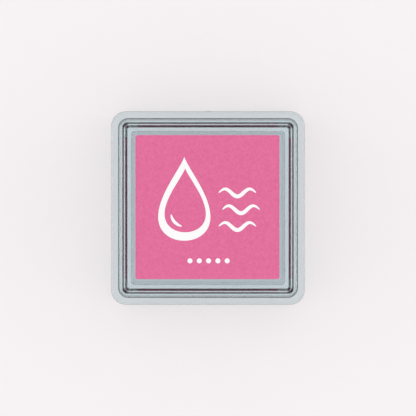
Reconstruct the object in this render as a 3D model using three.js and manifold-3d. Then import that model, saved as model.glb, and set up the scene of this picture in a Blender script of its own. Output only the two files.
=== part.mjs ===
// A mini pigment ink pad. A clear moulded base holds a block of inked foam in a raised tray, and a
// clear lid drops over the tray and rests on the base's ledge. The base is hollow underneath, so
// the pads stack with each base nested over the lid below it.
// Millimetres, +Z up, with the origin at the middle of the underside.

import * as THREE from "three";
import { mergeVertices } from "three/addons/utils/BufferGeometryUtils.js";
import Module from "manifold-3d";

const wasm = await Module();
wasm.setup();

// The whole case
const caseSide = 33.0; // over the base's skirt
const caseHeight = 20.0; // from the underside to the top of the lid's ridge
const leastCorner = 0.4; // the tightest corner radius seen from above
const edgeShare = 0.75; // the most that an edge is rounded by, beside its block's corner radius
const arcSteps = 8; // facets in each quarter turn
const edgeSteps = 3; // facets in each rounded edge

// Base: skirt and ledge
const skirtHeight = 5.4; // up to the ledge that the lid rests on
const skirtWall = 1.3;
const skirtCorner = 2.55;
const skirtEdge = 0.3;
const deckThickness = 1.0; // of the ledge
const stackGap = 0.15; // each side, between a skirt and the lid that it nests over

// Base: raised tray under the foam
const lidFit = 0.12; // each side, between the tray and the lid
const trayRise = 3.0; // from the ledge to the top of the tray's lip
const trayLip = 1.0; // wall of the lip round the foam
const trayWell = 1.0; // depth of the shallow well that the foam is stuck into
const trayFloor = 1.0;
const trayEdge = 0.2;
const ribRadius = 0.5; // of the upright ribs that grip the lid
const ribGap = 0.04; // left between a rib and the lid
const ribFromCorner = 6.5; // from the tray's side to the nearer rib on the next side

// Base: mark left where the mould's gate broke off
const gateWidth = 0.8;
const gateHeight = 1.2;
const gateProud = 0.12;
const gateLift = 2.4; // of its middle, above the underside

// Foam pad and the film of adhesive under it
const padGap = 0.93; // each side, between the foam and the tray's lip
const padHeadroom = 4.4; // left between the foam and the lid
const padCorner = 0.5;
const padEdge = 0.35;
const adhesiveThickness = 0.15;
const adhesiveInset = 0.4; // from the foam's side

// Lid
const lidWall = 1.0;
const lidRoof = 1.0;
const lidCorner = 1.7;
const shoulderEdge = 0.5;
const cavityEdge = 0.5;
const ridgeInset = 0.78; // from the lid's side to the ridge's foot
const ridgeWidth = 0.81; // at its foot
const ridgeLean = 0.31; // that each flank leans in by, from foot to top
const ridgeRise = 1.4; // from the panel that holds the label to the ridge's top

// Labels
const labelMargin = 1.46; // from the ridge to the printed label on the lid
const labelCorner = 0.35;
const labelThickness = 0.1;
const baseLabelMargin = 1.93; // from the pocket's wall to the label under the base

// The lid's outside follows the skirt's inside, because another pad's skirt nests over it.
const recessSide = caseSide - 2 * skirtWall;
const lidSide = recessSide - 2 * stackGap;
const lidInside = lidSide - 2 * lidWall;
const traySide = lidInside - 2 * lidFit;
const wellSide = traySide - 2 * trayLip;
const padSide = wellSide - 2 * padGap;
const ridgeSide = lidSide - 2 * ridgeInset;
const panelSide = ridgeSide - 2 * ridgeWidth;
const pocketSide = traySide - 2 * trayFloor;

const insideCorner = (corner, inset) => Math.max(corner - inset, leastCorner);
const recessCorner = lidCorner + stackGap;
const cavityCorner = insideCorner(lidCorner, lidWall);
const trayCorner = insideCorner(cavityCorner, lidFit);

// Heights
const deckUnderside = skirtHeight - deckThickness;
const trayTop = skirtHeight + trayRise;
const wellFloor = trayTop - trayWell;
const pocketCeiling = wellFloor - trayFloor;
const panelTop = caseHeight - ridgeRise;
const cavityCeiling = panelTop - lidRoof;
const padFoot = wellFloor + adhesiveThickness;
const padTop = cavityCeiling - padHeadroom;

const cutMargin = 1.0; // that a cut runs past the face it opens

// ---- shapes ----

function squareOutline(path, side, corner) {
  const flat = side / 2 - corner;
  path.absarc(flat, -flat, corner, -Math.PI / 2, 0);
  path.absarc(flat, flat, corner, 0, Math.PI / 2);
  path.absarc(-flat, flat, corner, Math.PI / 2, Math.PI);
  path.absarc(-flat, -flat, corner, Math.PI, 1.5 * Math.PI);
  return path;
}

// An upright prism of the shape, with its outer edges rounded at both ends.
function prism(shape, low, high, edge = 0) {
  const geometry = new THREE.ExtrudeGeometry(shape, {
    depth: high - low - 2 * edge,
    bevelEnabled: edge > 0,
    bevelThickness: edge,
    bevelSize: edge,
    bevelOffset: -edge,
    bevelSegments: edgeSteps,
    curveSegments: arcSteps,
  });
  return solid(geometry.translate(0, 0, low + edge));
}

function block(side, corner, low, high, edge = 0) {
  const outline = squareOutline(new THREE.Shape(), side, corner);
  return prism(outline, low, high, Math.min(edge, edgeShare * corner));
}

// A block whose lower edge stays square.
function domedBlock(side, corner, low, high, edge) {
  const slab = new THREE.BoxGeometry(2 * side, 2 * side, high - low + cutMargin);
  slab.translate(0, 0, (low + high + cutMargin) / 2);
  return block(side, corner, low - 2 * edge, high, edge).intersect(solid(slab));
}

// A block whose sides lean: it narrows by the lean at each side, or widens if that is below 0.
// Below its foot it carries on straight down by the root.
function leaningBlock(side, corner, low, high, lean, root = 0) {
  const leaf = (high - low) / 100;
  const foot = block(side, corner, low - root, low + leaf);
  const top = block(side - 2 * lean, insideCorner(corner, lean), high - leaf, high);
  return wasm.Manifold.hull([foot, top]);
}

// ---- between three.js geometry and solids ----

function solid(geometry) {
  geometry.deleteAttribute("normal");
  geometry.deleteAttribute("uv");
  const merged = mergeVertices(geometry, 1e-4);
  return new wasm.Manifold(
    new wasm.Mesh({
      numProp: 3,
      vertProperties: new Float32Array(merged.attributes.position.array),
      triVerts: new Uint32Array(merged.index.array),
    }),
  );
}

function geometryOf(shape) {
  const mesh = shape.getMesh();
  const geometry = new THREE.BufferGeometry();
  geometry.setAttribute("position", new THREE.BufferAttribute(mesh.vertProperties, 3));
  geometry.setIndex(new THREE.BufferAttribute(mesh.triVerts, 1));
  geometry.computeVertexNormals();
  return geometry;
}

// ---- pieces ----

// Upright half-round ribs, two on each side of the tray, just clear of the lid.
function gripRibs() {
  const length = trayRise - 2 * trayEdge;
  const axisAt = traySide / 2 + lidFit - ribGap - ribRadius;
  const along = traySide / 2 - ribFromCorner;
  const ribs = [];
  for (let quarter = 0; quarter < 4; quarter++) {
    for (const end of [-1, 1]) {
      const rib = new THREE.CylinderGeometry(ribRadius, ribRadius, length, 4 * arcSteps);
      rib.rotateX(Math.PI / 2).translate(axisAt, end * along, skirtHeight + length / 2);
      ribs.push(solid(rib.rotateZ((quarter * Math.PI) / 2)));
    }
  }
  return ribs;
}

function gateMark() {
  const mark = new THREE.BoxGeometry(gateWidth, skirtWall + gateProud, gateHeight);
  const middle = (caseSide - skirtWall + gateProud) / 2;
  return solid(mark.translate(0, middle, gateLift));
}

function baseTray() {
  const skirt = block(caseSide, skirtCorner, 0, skirtHeight, skirtEdge);
  const recess = block(recessSide, recessCorner, -cutMargin, deckUnderside);
  const tray = block(traySide, trayCorner, deckUnderside, trayTop, trayEdge);
  const wellCorner = insideCorner(trayCorner, trayLip);
  const well = block(wellSide, wellCorner, wellFloor, trayTop + cutMargin);
  const pocketCorner = insideCorner(trayCorner, trayFloor);
  const pocket = block(pocketSide, pocketCorner, -cutMargin, pocketCeiling);
  let base = skirt.subtract(recess).add(tray).subtract(well).subtract(pocket);
  for (const rib of gripRibs()) {
    base = base.add(rib);
  }
  return base.add(gateMark());
}

function lidShell() {
  const body = domedBlock(lidSide, lidCorner, skirtHeight, panelTop, shoulderEdge);
  const ridgeCorner = insideCorner(lidCorner, ridgeInset);
  const root = lidRoof / 2;
  const ridge = leaningBlock(ridgeSide, ridgeCorner, panelTop, caseHeight, ridgeLean, root);
  const frameCorner = insideCorner(ridgeCorner, ridgeWidth);
  const frameLean = (-ridgeLean * (ridgeRise + cutMargin)) / ridgeRise;
  const frameHigh = caseHeight + cutMargin;
  const frame = leaningBlock(panelSide, frameCorner, panelTop, frameHigh, frameLean);
  const cavityLow = skirtHeight - cutMargin;
  const cavity = block(lidInside, cavityCorner, cavityLow, cavityCeiling, cavityEdge);
  return body.add(ridge.subtract(frame)).subtract(cavity);
}

const inkFoam = () => block(padSide, padCorner, padFoot, padTop, padEdge);

function padAdhesive() {
  return block(padSide - 2 * adhesiveInset, padCorner, wellFloor, padFoot);
}

function lidLabel() {
  const side = panelSide - 2 * labelMargin;
  return block(side, labelCorner, panelTop, panelTop + labelThickness);
}

function baseLabel() {
  const side = pocketSide - 2 * baseLabelMargin;
  return block(side, labelCorner, pocketCeiling - labelThickness, pocketCeiling);
}

// ---- materials ----

const clearPlastic = {
  color: 0xcfdce0, roughness: 0.08, metalness: 0, transparent: true, opacity: 0.4,
};
const pinkInk = { color: 0xd9457f, roughness: 0.6, metalness: 0 };
const clearFilm = { color: 0xe8e2dc, roughness: 0.4, metalness: 0 };
const pinkPrint = { color: 0xe4729e, roughness: 0.45, metalness: 0 };
const whitePaper = { color: 0xf4f3f0, roughness: 0.8, metalness: 0 };

// ---- assembly ----

const inkPad = new THREE.Group();

function place(name, shape, finish) {
  const mesh = new THREE.Mesh(geometryOf(shape), new THREE.MeshStandardMaterial(finish));
  mesh.name = name;
  inkPad.add(mesh);
}

place("base_tray", baseTray(), clearPlastic);
place("pad_adhesive", padAdhesive(), clearFilm);
place("ink_foam", inkFoam(), pinkInk);
place("base_label", baseLabel(), whitePaper);
place("lid_shell", lidShell(), clearPlastic);
place("lid_label", lidLabel(), pinkPrint);

export default inkPad;
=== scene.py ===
import math

import bmesh
import bpy
from mathutils import Matrix, Vector, noise


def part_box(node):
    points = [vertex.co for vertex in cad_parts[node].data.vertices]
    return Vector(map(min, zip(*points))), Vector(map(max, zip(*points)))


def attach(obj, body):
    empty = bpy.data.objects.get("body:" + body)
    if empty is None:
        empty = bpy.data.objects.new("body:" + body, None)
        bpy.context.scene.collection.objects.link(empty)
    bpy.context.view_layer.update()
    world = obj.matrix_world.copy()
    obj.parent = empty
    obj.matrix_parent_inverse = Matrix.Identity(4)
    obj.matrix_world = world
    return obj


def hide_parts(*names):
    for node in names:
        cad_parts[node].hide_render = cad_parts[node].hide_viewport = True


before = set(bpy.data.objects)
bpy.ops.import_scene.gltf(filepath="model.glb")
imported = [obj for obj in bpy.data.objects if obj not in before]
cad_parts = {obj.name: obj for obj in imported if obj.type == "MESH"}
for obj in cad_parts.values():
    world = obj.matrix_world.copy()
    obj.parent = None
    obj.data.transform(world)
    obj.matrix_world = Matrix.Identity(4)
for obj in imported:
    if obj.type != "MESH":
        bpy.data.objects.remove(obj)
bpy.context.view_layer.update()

# ---- Camera ----
# A long lens straight above the closed pad, far enough away for its walls to stand upright, with
# the top edge of the label away from the viewer.
MM = 0.001
ledge_height = 5.4 * MM
camera_height = 600 * MM
view_width = 70.9 * MM  # across the frame, at the height of the base's ledge

camera = bpy.data.objects.new("camera", bpy.data.cameras.new("camera"))
camera.location = (0, 0, camera_height)
camera.data.lens = camera.data.sensor_width * (camera_height - ledge_height) / view_width
camera.data.clip_start = 10 * MM
bpy.context.scene.collection.objects.link(camera)
bpy.context.scene.camera = camera

# ---- Base tray ----
# One injection moulding in crystal-clear polystyrene: a square skirt and ledge with a raised
# tray for the foam, hollow underneath so that it nests over the lid of the pad below. Upright
# ribs on the tray grip the lid, and the mould's gate has left a stub on the skirt.
base_low, base_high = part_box("base_tray")
lid_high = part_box("lid_shell")[1]
skirt_half = base_high.x
skirt_corner = 2.55 * MM
skirt_wall = 1.3 * MM
deck_thickness = 1.0 * MM
lid_half = lid_high.x
lid_wall = 1.0 * MM
lid_corner = 1.7 * MM
lid_fit = 0.12 * MM
tray_wall = 1.0 * MM
well_depth = 1.0 * MM
least_corner = 0.4 * MM
stack_gap = 0.15 * MM  # each side, between a skirt and the lid that it nests over
wall_step = 0.8 * MM  # from a rounded corner in to where a flat middle starts
rib_radius = 0.5 * MM
rib_proud = 0.08 * MM
rib_from_corner = 6.5 * MM
gate_half_width = 0.4 * MM
gate_half_height = 0.6 * MM
gate_height = 2.4 * MM

recess_half = skirt_half - skirt_wall
recess_corner = lid_corner + stack_gap
tray_half = lid_half - lid_wall - lid_fit
tray_corner = lid_corner - lid_wall - lid_fit
tray_top = base_high.z
well_half = tray_half - tray_wall
well_floor = tray_top - well_depth
pocket_ceiling = well_floor - tray_wall
deck_underside = ledge_height - deck_thickness
rib_along = tray_half - rib_from_corner
rib_span = (ledge_height + 0.3 * MM, tray_top - 0.4 * MM)
gate_proud = base_high.y - skirt_half

CORNER_STEPS = 14  # round each corner seen from above
ROUND_STEPS = 7  # round each rounded edge
HOLD = 0.25  # of a rounding, from its end to the point that keeps the flat beside it flat
SLIGHT = 0.01 * MM  # what counts as the same place


def rounded_section(corners):
    """The section's outline, from (half width, height, rounding, corner radius) at each corner.

    It gives (half width, height, corner radius) points. The corner radius is the one seen from
    above, and it follows the half width round each rounding.
    """
    section = [(corners[0][0], corners[0][1], corners[0][3])]
    for before, (half, height, rounding, corner), after in zip(corners, corners[1:], corners[2:]):
        here = Vector((half, height))
        back = (Vector(before[:2]) - here).normalized()
        ahead = (Vector(after[:2]) - here).normalized()
        opening = back.angle(ahead)
        sweep = math.pi - opening
        middle = here + (back + ahead).normalized() * rounding / math.sin(opening / 2)
        first = here + back * rounding / math.tan(opening / 2) - middle
        last = here + ahead * rounding / math.tan(opening / 2) - middle
        points = [first + back * rounding * HOLD]
        for step in range(ROUND_STEPS + 1):
            angle = sweep * step / ROUND_STEPS
            points.append(
                (first * math.sin(sweep - angle) + last * math.sin(angle)) / math.sin(sweep)
            )
        points.append(last + ahead * rounding * HOLD)
        for point in points:
            point = point + middle
            section.append((point.x, point.y, corner + point.x - half))
    section.append((corners[-1][0], corners[-1][1], corners[-1][3]))
    return section


def with_heights(section, half, heights):
    """The section with more points, at those heights, on its upright wall at that half width."""
    wall = [i for i, point in enumerate(section) if abs(point[0] - half) < SLIGHT]
    first, last = wall[0], wall[-1]
    falls = section[first][1] > section[last][1]
    extra = [(half, height, section[first][2]) for height in heights]
    rows = sorted(section[first:last + 1] + extra, key=lambda row: row[1], reverse=falls)
    return section[:first] + rows + section[last + 1:]


def square_ring(half, height, corner, marks):
    """Points round a square with rounded corners, each with the way it faces, and with extra
    points at the marks along each side."""
    flat = half - corner
    along = [-flat, -flat + 0.1 * MM, *marks, flat - 0.1 * MM, flat]
    ring = []
    for quarter in range(4):
        turn = Matrix.Rotation(quarter * math.pi / 2, 3, "Z")
        for y in along:
            ring.append((turn @ Vector((half, y, height)), turn @ Vector((1, 0, 0))))
        for step in range(1, CORNER_STEPS):
            angle = math.pi / 2 * step / CORNER_STEPS
            facing = Vector((math.cos(angle), math.sin(angle), 0))
            point = Vector((flat, flat, height)) + facing * corner
            ring.append((turn @ point, turn @ facing))
    return ring


def swept(name, section, marks=(0.0,), detail=None):
    """A closed body: the section swept round the square, with flat middles at both its ends.

    The section runs from the middle of the top, out and down, and back in underneath.

    detail gives how far a point stands out, from the point and the way it faces.
    """
    mesh = bmesh.new()
    rings = []
    for half, height, corner in section:
        ring = []
        for point, facing in square_ring(half, height, corner, marks):
            if detail is not None:
                point = point + facing * detail(point, facing)
            ring.append(mesh.verts.new(point))
        rings.append(ring)
    for upper, lower in zip(rings, rings[1:]):
        for i, vert in enumerate(upper):
            mesh.faces.new((upper[i - 1], lower[i - 1], lower[i], vert))
    mesh.faces.new(rings[0])
    mesh.faces.new(rings[-1][::-1])
    return made_piece(name, mesh)


def made_piece(name, mesh, sharp_from=40):
    """The bmesh as an object, smooth but for edges sharper than that many degrees."""
    data = bpy.data.meshes.new(name)
    mesh.to_mesh(data)
    mesh.free()
    data.shade_smooth()
    data.set_sharp_from_angle(angle=math.radians(sharp_from))
    piece = bpy.data.objects.new(name, data)
    bpy.context.scene.collection.objects.link(piece)
    return piece


def base_detail(point, facing):
    """How far a rib stands out of the tray's wall, or the gate's stub out of the skirt."""
    side = max(abs(point.x), abs(point.y))
    along = min(abs(point.x), abs(point.y))
    if abs(side - tray_half) < SLIGHT and rib_span[0] < point.z < rib_span[1]:
        across = (along - rib_along) / rib_radius
        return rib_proud * math.sqrt(max(0, 1 - across * across))
    on_skirt = facing.y > 0.99 and abs(side - skirt_half) < SLIGHT
    if on_skirt and along < gate_half_width + SLIGHT:
        if abs(point.z - gate_height) < gate_half_height + SLIGHT:
            return gate_proud
    return 0.0


base_outline = rounded_section([
    (well_half - wall_step, well_floor, 0, least_corner),
    (well_half, well_floor, 0.2 * MM, least_corner),
    (well_half, tray_top, 0.2 * MM, least_corner),
    (tray_half, tray_top, 0.2 * MM, tray_corner),
    (tray_half, ledge_height, 0.12 * MM, tray_corner),
    (skirt_half, ledge_height, 0.3 * MM, skirt_corner),
    (skirt_half, base_low.z, 0.3 * MM, skirt_corner),
    (recess_half, base_low.z, 0.15 * MM, recess_corner),
    (recess_half, deck_underside, 0.2 * MM, recess_corner),
    (well_half, deck_underside, 0.2 * MM, least_corner),
    (well_half, pocket_ceiling, 0.2 * MM, least_corner),
    (well_half - wall_step, pocket_ceiling, 0, least_corner),
])
rib_ends = [rib_span[0] - SLIGHT, rib_span[0] + SLIGHT, rib_span[1] - SLIGHT, rib_span[1] + SLIGHT]
base_outline = with_heights(base_outline, tray_half, rib_ends)
gate_rows = [gate_height + k * gate_half_height for k in (-1.2, -1, 0, 1, 1.2)]
base_outline = with_heights(base_outline, skirt_half, gate_rows)
base_marks = {gate_half_width * k for k in (-1.3, -1, 0, 1, 1.3)}
for way in (-1, 1):
    base_marks.update(way * rib_along + rib_radius * k / 5 for k in range(-6, 7))
base_piece = swept("base_moulding", base_outline, sorted(base_marks), base_detail)


def node(tree, kind, inputs=None, **settings):
    """A new node, with its settings, and its inputs linked where they are given as sockets."""
    made = tree.nodes.new(kind)
    for key, value in settings.items():
        setattr(made, key, value)
    for key, value in (inputs or {}).items():
        if isinstance(value, bpy.types.NodeSocket):
            tree.links.new(value, made.inputs[key])
        else:
            made.inputs[key].default_value = value
    return made


def maths(tree, operation, first, second, third=0.0):
    """A Math node's result."""
    result = node(tree, "ShaderNodeMath", {0: first, 1: second, 2: third}, operation=operation)
    return result.outputs[0]


def blended(tree, factor, first, second):
    """A colour between two colours, by a factor."""
    mix = node(tree, "ShaderNodeMix", {0: factor, 6: first, 7: second}, data_type="RGBA")
    return mix.outputs[2]


def new_material(name):
    """An empty material, its node tree and its output."""
    material = bpy.data.materials.new(name)
    material.use_nodes = True
    material.node_tree.nodes.clear()
    return material, material.node_tree, node(material.node_tree, "ShaderNodeOutputMaterial")


def new_group(name, inputs, outputs):
    """An empty shader group with float inputs and outputs, and its two end nodes."""
    group = bpy.data.node_groups.new(name, "ShaderNodeTree")
    for title in inputs:
        group.interface.new_socket(title, in_out="INPUT", socket_type="NodeSocketFloat")
    for title in outputs:
        group.interface.new_socket(title, in_out="OUTPUT", socket_type="NodeSocketFloat")
    return group, node(group, "NodeGroupInput"), node(group, "NodeGroupOutput")


def in_millimetres(tree):
    """The place on the piece as a vector in millimetres."""
    place = node(tree, "ShaderNodeTexCoord").outputs["Object"]
    scaled = node(tree, "ShaderNodeVectorMath", {0: place, "Scale": 1000.0}, operation="SCALE")
    return scaled.outputs[0]


def from_middle(tree):
    """How far the place on the piece is from its middle, along x or y, and its height, in mm."""
    place = node(tree, "ShaderNodeSeparateXYZ", {0: in_millimetres(tree)})
    across = maths(tree, "ABSOLUTE", place.outputs[0], 0.0)
    along = maths(tree, "ABSOLUTE", place.outputs[1], 0.0)
    return maths(tree, "MAXIMUM", across, along), place.outputs[2]


# Handling marks: soft cloudy rub marks with finer hairline scratches in them, from 0 to 1.
handling_marks, marks_in, marks_out = new_group("handling_marks", ["Patch size"], ["Marks"])
place = in_millimetres(handling_marks)
patch_scale = maths(handling_marks, "DIVIDE", 1.0, marks_in.outputs["Patch size"])
patches = node(handling_marks, "ShaderNodeTexNoise", {
    "Vector": place, "Scale": patch_scale, "Detail": 3.0, "Roughness": 0.6,
})
stretched = node(handling_marks, "ShaderNodeMapping", {
    "Vector": place, "Rotation": (0.2, 0.3, 0.7), "Scale": (9.0, 0.35, 2.0),
})
hairlines = node(handling_marks, "ShaderNodeTexNoise", {
    "Vector": stretched.outputs[0], "Scale": 1.2, "Detail": 2.0,
})
patch_mask = node(handling_marks, "ShaderNodeMapRange", {
    "Value": patches.outputs[0], "From Min": 0.46, "From Max": 0.72,
})
line_mask = node(handling_marks, "ShaderNodeMapRange", {
    "Value": hairlines.outputs[0], "From Min": 0.6, "From Max": 0.68,
})
marked = maths(handling_marks, "MULTIPLY_ADD", line_mask.outputs[0], 0.5, 0.5)
handling_marks.links.new(
    maths(handling_marks, "MULTIPLY", patch_mask.outputs[0], marked), marks_out.inputs["Marks"],
)


def use_group(tree, group, **inputs):
    """The group placed in a tree, with its inputs set."""
    placed = node(tree, "ShaderNodeGroup", node_tree=group)
    for title, value in inputs.items():
        placed.inputs[title.replace("_", " ").capitalize()].default_value = value
    return placed


# Clear styrene, tinted blue-grey: partly the faint blue of the dye that hides its yellow, and
# partly painted shade that darkens all that is seen through it. It has the slow ripple that the
# mould's skin leaves and light rub marks, and its colour turns nearly black where it is seen
# edge-on, as painted shade for dark edges. The floor of the tray is textured matt, so that the
# adhesive keys to it, and tinted darker as painted shade under the label. Lamps shine through it.
clear_styrene, tree, output = new_material("clear_styrene")
rubs = use_group(tree, handling_marks, patch_size=6.0)
ripple = node(tree, "ShaderNodeTexNoise", {
    "Vector": in_millimetres(tree), "Scale": 0.35, "Detail": 1.5, "Roughness": 0.4,
})
ripple_bump = node(tree, "ShaderNodeBump", {
    "Height": ripple.outputs[0], "Strength": 0.25, "Distance": 0.05 * MM,
})
scratch_bump = node(tree, "ShaderNodeBump", {
    "Height": rubs.outputs["Marks"], "Strength": 0.1, "Distance": 0.01 * MM,
    "Normal": ripple_bump.outputs[0],
})
# Painted shade: the colour turns nearly black where a surface is seen edge-on, standing in for the
# dark lines that refraction of dark surroundings gives at the ridge and edges.
grazing = node(tree, "ShaderNodeLayerWeight", {"Blend": 0.5}).outputs["Facing"]
painted_edge_shade = node(tree, "ShaderNodeMapRange", {
    "Value": grazing, "From Min": 0.4, "From Max": 0.77,
}, interpolation_type="SMOOTHSTEP")
# The tray floor inside the lip is made matt, and its tint is darker as painted shade under the
# label.
off_middle, height = from_middle(tree)
inside_lip = maths(tree, "LESS_THAN", off_middle, well_half / MM - 0.15)
floor_height = (well_floor + pocket_ceiling) / 2 / MM
off_floor = maths(tree, "ABSOLUTE", maths(tree, "SUBTRACT", height, floor_height), 0.0)
at_floor = maths(tree, "LESS_THAN", off_floor, tray_wall / MM * 0.55)
matt_and_shaded_floor = maths(tree, "MULTIPLY", inside_lip, at_floor)
# Painted shade: the tint darkens all that is seen through the plastic; only its faint blue is the
# dye's. The tray floor inside the lip gets a darker tint still, as painted shade under the label.
styrene_tint_and_shade = blended(tree, matt_and_shaded_floor, (0.82, 0.895, 0.92, 1), (0.70, 0.79, 0.84, 1))
rubbed = maths(tree, "MULTIPLY_ADD", rubs.outputs["Marks"], 0.09, 0.02)
plastic = node(tree, "ShaderNodeBsdfPrincipled", {
    "Base Color": blended(tree, painted_edge_shade.outputs[0], styrene_tint_and_shade, (0.002, 0.003, 0.003, 1)),
    "IOR": 1.59, "Transmission Weight": 1.0,
    "Roughness": maths(tree, "MULTIPLY_ADD", matt_and_shaded_floor, 0.38, rubbed),
    "Normal": scratch_bump.outputs[0],
})
lets_light_by = node(tree, "ShaderNodeBsdfTransparent", {"Color": (0.55, 0.58, 0.59, 1)})
light_path = node(tree, "ShaderNodeLightPath")
shadow_mix = node(tree, "ShaderNodeMixShader", {
    0: light_path.outputs["Is Shadow Ray"], 1: plastic.outputs[0], 2: lets_light_by.outputs[0],
})
tree.links.new(shadow_mix.outputs[0], output.inputs["Surface"])

base_piece.data.materials.append(clear_styrene)
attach(base_piece, "base")
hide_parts("base_tray")

# ---- Pad adhesive ----
# A film of clear pressure-sensitive adhesive that holds the foam to the floor of the tray. It is
# die-cut with the foam, a little smaller, so that none of it squeezes out past the sides.
adhesive_gum, tree, output = new_material("adhesive_gum")
lumps = node(tree, "ShaderNodeTexNoise", {
    "Vector": in_millimetres(tree), "Scale": 1.4, "Detail": 4.0,
})
gum_colour = blended(tree, lumps.outputs[0], (0.80, 0.73, 0.60, 1), (0.88, 0.84, 0.75, 1))
gum_bump = node(tree, "ShaderNodeBump", {
    "Height": lumps.outputs[0], "Strength": 0.5, "Distance": 0.03 * MM,
})
gum = node(tree, "ShaderNodeBsdfPrincipled", {
    "Base Color": gum_colour, "Roughness": 0.35, "Subsurface Weight": 0.2,
    "Normal": gum_bump.outputs[0],
})
tree.links.new(gum.outputs[0], output.inputs["Surface"])
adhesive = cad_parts["pad_adhesive"]
adhesive.data.materials.clear()
adhesive.data.materials.append(adhesive_gum)

# ---- Ink foam ----
# A die-cut block of fine open-celled foam, soaked with thick pigment ink. The cut sides draw in
# a little between the edges, the top is slightly crowned, and the ink lies wet over the cells.
foam_low, foam_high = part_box("ink_foam")
foam_half = foam_high.x
foam_height = foam_high.z - foam_low.z
foam_edge = 0.45 * MM
foam_crown = 0.12 * MM
foam_pinch = 0.22 * MM
foam_ripple = 0.035 * MM
FOAM_CELLS = 72


def eased(t):
    """Spreads even steps from -1 to 1 so that they are closer together near the two ends."""
    return math.sin(t * math.pi / 2) * 0.55 + t * 0.45


def foam_point(x, y, z):
    """A point of the unit cube's skin, from -1 to 1 each way, as a point of the foam's skin."""
    core = Vector((foam_half - foam_edge, foam_half - foam_edge, foam_height / 2 - foam_edge))
    at = Vector((
        x * (core.x + foam_edge), y * (core.y + foam_edge), z * (core.z + foam_edge),
    ))
    inner = Vector([max(-limit, min(limit, value)) for value, limit in zip(at, core)])
    out = (at - inner).normalized()
    at = inner + out * foam_edge
    waist = 1 - (at.z / (foam_height / 2)) ** 2
    for axis in (0, 1):
        at[axis] -= foam_pinch * waist * out[axis]
    if at.z > 0:
        swell = (1 - (at.x / foam_half) ** 2) * (1 - (at.y / foam_half) ** 2)
        at.z -= foam_crown * (1 - swell) * max(0.0, out.z)
    lump = noise.noise(at / (1.1 * MM)) * 0.6 + noise.noise(at / (0.45 * MM)) * 0.4
    at += out * foam_ripple * (lump - 0.6)
    return at + Vector((0, 0, (foam_high.z + foam_low.z) / 2))


def foam_block():
    mesh = bmesh.new()
    for axis in range(3):
        for side in (-1, 1):
            rows = []
            for i in range(FOAM_CELLS + 1):
                row = []
                for j in range(FOAM_CELLS + 1):
                    spot = [0.0, 0.0, 0.0]
                    spot[axis] = side
                    spot[(axis + 1) % 3] = eased(2 * i / FOAM_CELLS - 1)
                    spot[(axis + 2) % 3] = eased(2 * j / FOAM_CELLS - 1)
                    row.append(mesh.verts.new(foam_point(*spot)))
                rows.append(row)
            for lower, upper in zip(rows, rows[1:]):
                for j in range(FOAM_CELLS):
                    quad = (lower[j], upper[j], upper[j + 1], lower[j + 1])
                    mesh.faces.new(quad[::side])
    bmesh.ops.remove_doubles(mesh, verts=mesh.verts, dist=0.001 * MM)
    return made_piece("inked_foam", mesh, sharp_from=80)


inked_foam, tree, output = new_material("inked_foam")
place = in_millimetres(tree)
large_cells = node(tree, "ShaderNodeTexVoronoi", {"Vector": place, "Scale": 2.6})
small_cells = node(tree, "ShaderNodeTexVoronoi", {"Vector": place, "Scale": 6.5})
soaked = node(tree, "ShaderNodeTexNoise", {"Vector": place, "Scale": 0.3, "Detail": 4.0})
fibres = node(tree, "ShaderNodeTexNoise", {"Vector": place, "Scale": 9.0, "Detail": 2.0})
large_pore = node(tree, "ShaderNodeMapRange", {
    "Value": large_cells.outputs["Distance"], "From Min": 0.08, "From Max": 0.38,
}, interpolation_type="SMOOTHSTEP")
small_pore = node(tree, "ShaderNodeMapRange", {
    "Value": small_cells.outputs["Distance"], "From Min": 0.05, "From Max": 0.45,
})
# Painted shade: the pores, which this mask also sinks in the bump, take the dark end of each ink
# colour, as shade in them.
skin = maths(tree, "MULTIPLY", large_pore.outputs[0], small_pore.outputs[0])
wet_share = node(tree, "ShaderNodeMapRange", {
    "Value": soaked.outputs[0], "From Min": 0.38, "From Max": 0.62,
})
ink_thin = blended(tree, skin, (0.62, 0.035, 0.16, 1), (0.96, 0.145, 0.39, 1))
ink_thick = blended(tree, skin, (0.55, 0.025, 0.13, 1), (0.90, 0.09, 0.31, 1))
relief = maths(tree, "MULTIPLY_ADD", fibres.outputs[0], 0.3, skin)
foam_bump = node(tree, "ShaderNodeBump", {
    "Height": relief, "Strength": 0.9, "Distance": 0.1 * MM,
})
foam_shader = node(tree, "ShaderNodeBsdfPrincipled", {
    "Base Color": blended(tree, wet_share.outputs[0], ink_thin, ink_thick),
    "Roughness": 0.6, "Coat Weight": maths(tree, "MULTIPLY", wet_share.outputs[0], 0.35),
    "Coat Roughness": 0.25, "Normal": foam_bump.outputs[0],
})
tree.links.new(foam_shader.outputs[0], output.inputs["Surface"])

foam_piece = foam_block()
foam_piece.data.materials.append(inked_foam)
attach(foam_piece, "base")
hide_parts("ink_foam")

# ---- Base label ----
# A small square of white coated paper, stuck up inside the hollow of the base, printed with a
# swatch of the ink's colour and a thin border.
base_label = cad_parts["base_label"]

# Paper: the cloudy look of its fibres and the fine tooth of its surface, each from 0 to 1.
paper_grain, grain_in, grain_out = new_group("paper_grain", ["Tooth size"], ["Cloud", "Tooth"])
place = in_millimetres(paper_grain)
cloud = node(paper_grain, "ShaderNodeTexNoise", {"Vector": place, "Scale": 1.6, "Detail": 5.0})
tooth_scale = maths(paper_grain, "DIVIDE", 1.0, grain_in.outputs["Tooth size"])
tooth = node(paper_grain, "ShaderNodeTexNoise", {
    "Vector": place, "Scale": tooth_scale, "Detail": 3.0, "Roughness": 0.7,
})
paper_grain.links.new(cloud.outputs[0], grain_out.inputs["Cloud"])
paper_grain.links.new(tooth.outputs[0], grain_out.inputs["Tooth"])

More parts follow.
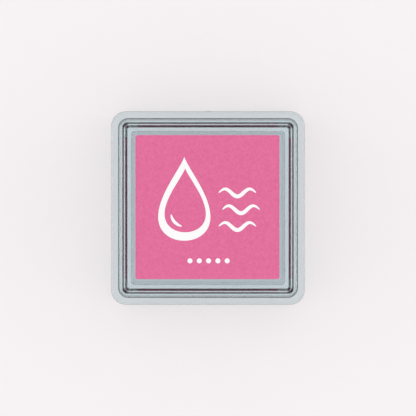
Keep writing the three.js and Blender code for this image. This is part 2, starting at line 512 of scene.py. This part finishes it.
coated_paper, tree, output = new_material("coated_paper")
grain = use_group(tree, paper_grain, tooth_size=0.08)
swatch_half = 4.0
border_from, border_to = 9.2, 9.6
off_middle = from_middle(tree)[0]
in_swatch = maths(tree, "LESS_THAN", off_middle, swatch_half)
past_border = maths(tree, "GREATER_THAN", off_middle, border_from)
before_edge = maths(tree, "LESS_THAN", off_middle, border_to)
in_border = maths(tree, "MULTIPLY", past_border, before_edge)
printed = maths(tree, "MAXIMUM", in_swatch, in_border)
bare = blended(tree, grain.outputs["Cloud"], (0.86, 0.85, 0.82, 1), (0.92, 0.91, 0.89, 1))
inked = blended(tree, grain.outputs["Cloud"], (0.70, 0.13, 0.29, 1), (0.82, 0.20, 0.38, 1))
paper_bump = node(tree, "ShaderNodeBump", {
    "Height": grain.outputs["Tooth"], "Strength": 0.3, "Distance": 0.02 * MM,
})
paper = node(tree, "ShaderNodeBsdfPrincipled", {
    "Base Color": blended(tree, printed, bare, inked), "Roughness": 0.6,
    "Normal": paper_bump.outputs[0],
})
tree.links.new(paper.outputs[0], output.inputs["Surface"])
base_label.data.materials.clear()
base_label.data.materials.append(coated_paper)

# ---- Lid ----
# A deep clear lid in the same styrene, moulded with a rounded shoulder and a raised ridge round
# its top, which frames the label and carries the base of the next pad in a stack.
lid_roof = 1.0 * MM
ridge_rise = 1.4 * MM
ridge_inset = 0.78 * MM  # from the lid's side to the ridge's foot
ridge_width = 0.81 * MM  # at its foot
lean = 0.31 * MM  # of each flank of the ridge
rim_gap = 0.02 * MM  # between the lid's rim and the ledge
draft = 0.05 * MM  # that each side leans in by, from the rim to the top

ridge_top = lid_high.z
panel_top = ridge_top - ridge_rise
ridge_half = lid_half - ridge_inset
ridge_corner = lid_corner - ridge_inset
panel_half = ridge_half - ridge_width
cavity_ceiling = panel_top - lid_roof
cavity_half = lid_half - lid_wall
cavity_corner = lid_corner - lid_wall
rim = ledge_height + rim_gap

lid_piece = swept("lid_moulding", rounded_section([
    (panel_half - wall_step, panel_top, 0, least_corner),
    (panel_half, panel_top, 0.1 * MM, least_corner),
    (panel_half + lean, ridge_top, 0.08 * MM, least_corner),
    (ridge_half - lean, ridge_top, 0.08 * MM, ridge_corner),
    (ridge_half, panel_top, 0.1 * MM, ridge_corner),
    (lid_half - draft, panel_top, 0.5 * MM, lid_corner),
    (lid_half, rim, 0.22 * MM, lid_corner),
    (cavity_half, rim, 0.22 * MM, cavity_corner),
    (cavity_half - draft, cavity_ceiling, 0.4 * MM, cavity_corner),
    (cavity_half - 1.5 * MM, cavity_ceiling, 0, cavity_corner),
]))
lid_piece.data.materials.append(clear_styrene)
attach(lid_piece, "lid")
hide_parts("lid_shell")

# ---- Lid label ----
# A die-cut label of white coated paper, printed edge to edge in the ink's colour with a mottled
# ground, and sealed with a thin gloss varnish. Its cut edge shows white.
label_low, label_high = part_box("lid_label")
label_half = label_high.x
label_corner = 0.35 * MM
label_edge = 0.02 * MM
label_foot = label_low.z - 0.01 * MM  # pressed down into its adhesive, so no air is left under it
label_middle = label_half - 1.0 * MM
label_shift = Vector((-0.1 * MM, 0.15 * MM, 0))  # it was stuck on a touch off centre

label_piece = swept("lid_label_paper", rounded_section([
    (label_middle, label_high.z, 0, label_corner),
    (label_half, label_high.z, label_edge, label_corner),
    (label_half, label_foot, label_edge, label_corner),
    (label_middle, label_foot, 0, label_corner),
]))

varnished_print, tree, output = new_material("varnished_print")
grain = use_group(tree, paper_grain, tooth_size=0.12)
place = in_millimetres(tree)
mottle = node(tree, "ShaderNodeTexNoise", {
    "Vector": place, "Scale": 2.6, "Detail": 6.0, "Roughness": 0.65, "Distortion": 0.6,
})
blotches = node(tree, "ShaderNodeMapRange", {
    "Value": mottle.outputs[0], "From Min": 0.4, "From Max": 0.6,
})
ground = blended(tree, blotches.outputs[0], (0.655, 0.088, 0.25, 1), (0.81, 0.15, 0.345, 1))
clouded = blended(tree, grain.outputs["Cloud"], ground, (0.735, 0.12, 0.3, 1))
facing = node(tree, "ShaderNodeSeparateXYZ", {
    0: node(tree, "ShaderNodeTexCoord").outputs["Normal"],
})
is_cut_edge = maths(tree, "LESS_THAN", facing.outputs[2], 0.5)
label_bump = node(tree, "ShaderNodeBump", {
    "Height": grain.outputs["Tooth"], "Strength": 0.15, "Distance": 0.02 * MM,
})
print_shader = node(tree, "ShaderNodeBsdfPrincipled", {
    "Base Color": blended(tree, is_cut_edge, clouded, (0.9, 0.89, 0.87, 1)), "Roughness": 0.5,
    "Coat Weight": 0.25, "Coat Roughness": 0.2, "Normal": label_bump.outputs[0],
})
tree.links.new(print_shader.outputs[0], output.inputs["Surface"])
label_piece.data.materials.append(varnished_print)
label_piece.location = label_shift
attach(label_piece, "lid")
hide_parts("lid_label")

# ---- Print on the lid label ----
# White ink screened over the pink ground: an ink drop in outline with a glint in it, three
# brushed waves beside it, and a row of dots below. It stands up by the ink's thickness.
ink_foot = label_high.z - 0.005 * MM
ink_top = label_high.z + 0.01 * MM
stroke_tip = 0.1  # width of a stroke's two ends, in millimetres
DROP_STEPS = 96
STROKE_STEPS = 80


def print_band(mesh, right, left, closed=False):
    """A raised band of ink between two lines of points, in millimetres on the label."""
    tops, feet = [
        [[mesh.verts.new((*(spot * MM), height)) for spot in line] for line in (right, left)]
        for height in (ink_top, ink_foot)
    ]
    steps = range(-1 if closed else 0, len(right) - 1)
    for i in steps:
        mesh.faces.new((tops[0][i], tops[0][i + 1], tops[1][i + 1], tops[1][i]))
        mesh.faces.new((feet[1][i], feet[1][i + 1], feet[0][i + 1], feet[0][i]))
        mesh.faces.new((tops[0][i], feet[0][i], feet[0][i + 1], tops[0][i + 1]))
        mesh.faces.new((tops[1][i + 1], feet[1][i + 1], feet[1][i], tops[1][i]))
    if not closed:
        mesh.faces.new((tops[1][0], feet[1][0], feet[0][0], tops[0][0]))
        mesh.faces.new((tops[0][-1], feet[0][-1], feet[1][-1], tops[1][-1]))


def brush_stroke(mesh, points, widest):
    """A stroke through the points that is thin at both ends and widest in the middle."""
    right, left = [], []
    last = len(points) - 1
    for i, point in enumerate(points):
        along = (points[min(i + 1, last)] - points[max(i - 1, 0)]).normalized()
        width = stroke_tip + (widest - stroke_tip) * math.sin(math.pi * i / last) ** 0.6
        across = Vector((-along.y, along.x)) * width / 2
        right.append(point - across)
        left.append(point + across)
    print_band(mesh, right, left)


def drop_outline(middle, half_width, half_height):
    """Points round a drop with its tip at the top, anticlockwise."""
    outline = []
    for step in range(DROP_STEPS):
        turn = 2 * math.pi * step / DROP_STEPS
        belly = math.sin(turn / 2) ** 1.5
        outline.append(middle + Vector((
            -half_width * math.sin(turn) * belly, half_height * math.cos(turn),
        )))
    return outline


label_print = bmesh.new()
outside = drop_outline(Vector((-3.85, 1.4)), 6.2, 7.0)
inside = drop_outline(Vector((-3.7, 1.15)), 4.9, 5.35)
print_band(label_print, outside, inside, closed=True)

glint_middle = Vector((-3.7, -1.0))
glint = []
for step in range(25):
    turn = math.radians(186 + 70 * step / 24)
    glint.append(glint_middle + Vector((2.35 * math.cos(turn), 2.25 * math.sin(turn))))
brush_stroke(label_print, glint, 0.5)

wave_span = 6.2
wave_length = 4.13
wave_height = 0.62
for start, level in ((1.9, 2.4), (2.5, -0.4), (1.9, -3.2)):
    wave = []
    for step in range(STROKE_STEPS + 1):
        along = wave_span * step / STROKE_STEPS
        rise = wave_height * math.sin(along * 2 * math.pi / wave_length)
        wave.append(Vector((start + along, level + rise)))
    brush_stroke(label_print, wave, 0.66)

dot_radius = 0.42
dot_spacing = 1.55
for number in range(5):
    middle = Vector((dot_spacing * (number - 2) + 0.2, -8.95))
    turns = [math.pi * (k + 0.5) / 17 for k in range(17)]
    lower = [middle - dot_radius * Vector((math.cos(turn), math.sin(turn))) for turn in turns]
    upper = [middle + dot_radius * Vector((-math.cos(turn), math.sin(turn))) for turn in turns]
    print_band(label_print, lower, upper)

print_piece = made_piece("lid_label_print", label_print, sharp_from=30)

white_ink, tree, output = new_material("white_ink")
cover = node(tree, "ShaderNodeTexNoise", {
    "Vector": in_millimetres(tree), "Scale": 5.0, "Detail": 4.0,
})
ink_bump = node(tree, "ShaderNodeBump", {
    "Height": cover.outputs[0], "Strength": 0.2, "Distance": 0.01 * MM,
})
white_shader = node(tree, "ShaderNodeBsdfPrincipled", {
    "Base Color": blended(tree, cover.outputs[0], (0.93, 0.915, 0.92, 1), (0.98, 0.98, 0.98, 1)),
    "Roughness": 0.45, "Coat Weight": 0.25, "Coat Roughness": 0.2, "Normal": ink_bump.outputs[0],
})
tree.links.new(white_shader.outputs[0], output.inputs["Surface"])
print_piece.data.materials.append(white_ink)
print_piece.location = label_shift
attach(print_piece, "lid")

# ---- Table and studio ----
# A pale matt table that runs out to the horizon, a bright soft sky of lamps overhead, and two
# long soft lamps low down at the left and right.
table_gap = 0.05 * MM
table_half = 4.0
table_mesh = bmesh.new()
bmesh.ops.create_grid(table_mesh, x_segments=8, y_segments=8, size=table_half)
table = made_piece("table", table_mesh)
table.location.z = -table_gap

pale_table, tree, output = new_material("pale_table")
speckle = node(tree, "ShaderNodeTexNoise", {
    "Vector": in_millimetres(tree), "Scale": 0.2, "Detail": 3.0,
})
table_shader = node(tree, "ShaderNodeBsdfPrincipled", {
    "Base Color": blended(
        tree, speckle.outputs[0], (0.352, 0.339, 0.344, 1), (0.362, 0.348, 0.353, 1),
    ),
    "Roughness": 0.9, "Specular IOR Level": 0.1, "Emission Color": (0.93, 0.896, 0.905, 1),
    "Emission Strength": 0.61,
})
tree.links.new(table_shader.outputs[0], output.inputs["Surface"])
table.data.materials.append(pale_table)

studio = bpy.data.worlds.new("studio")
studio.use_nodes = True
tree = studio.node_tree
tree.nodes.clear()
way_up = node(tree, "ShaderNodeSeparateXYZ", {
    0: node(tree, "ShaderNodeTexCoord").outputs["Generated"],
})
sky = node(tree, "ShaderNodeMapRange", {
    "Value": way_up.outputs[2], "From Min": 0.15, "From Max": 0.75, "To Min": 0.03, "To Max": 1.12,
}, interpolation_type="SMOOTHSTEP")
sky_light = node(tree, "ShaderNodeBackground", {
    "Color": (1.0, 0.99, 0.99, 1), "Strength": sky.outputs[0],
})
backdrop = node(tree, "ShaderNodeBackground", {
    "Color": (0.896, 0.863, 0.871, 1), "Strength": 1.0,
})
seen_straight = node(tree, "ShaderNodeLightPath").outputs["Is Camera Ray"]
sky_mix = node(tree, "ShaderNodeMixShader", {
    0: seen_straight, 1: sky_light.outputs[0], 2: backdrop.outputs[0],
})
tree.links.new(
    sky_mix.outputs[0], node(tree, "ShaderNodeOutputWorld").inputs["Surface"],
)
bpy.context.scene.world = studio

lamp_distance = 0.55
lamp_height = 0.35
for side in (-1, 1):
    lamp = bpy.data.lights.new("side_lamp", "AREA")
    lamp.shape = "RECTANGLE"
    lamp.size, lamp.size_y = 0.5, 0.25
    lamp.energy = 0.6
    stand = bpy.data.objects.new(lamp.name, lamp)
    stand.location = (side * lamp_distance, 0, lamp_height)
    stand.rotation_euler = (-stand.location).to_track_quat("-Z", "Y").to_euler()
    bpy.context.scene.collection.objects.link(stand)

bpy.context.scene.view_settings.view_transform = "Standard"
bounces = 24  # enough for light to pass both mouldings and come back
bpy.context.scene.cycles.max_bounces = bounces
bpy.context.scene.cycles.transmission_bounces = bounces
bpy.context.scene.cycles.transparent_max_bounces = bounces
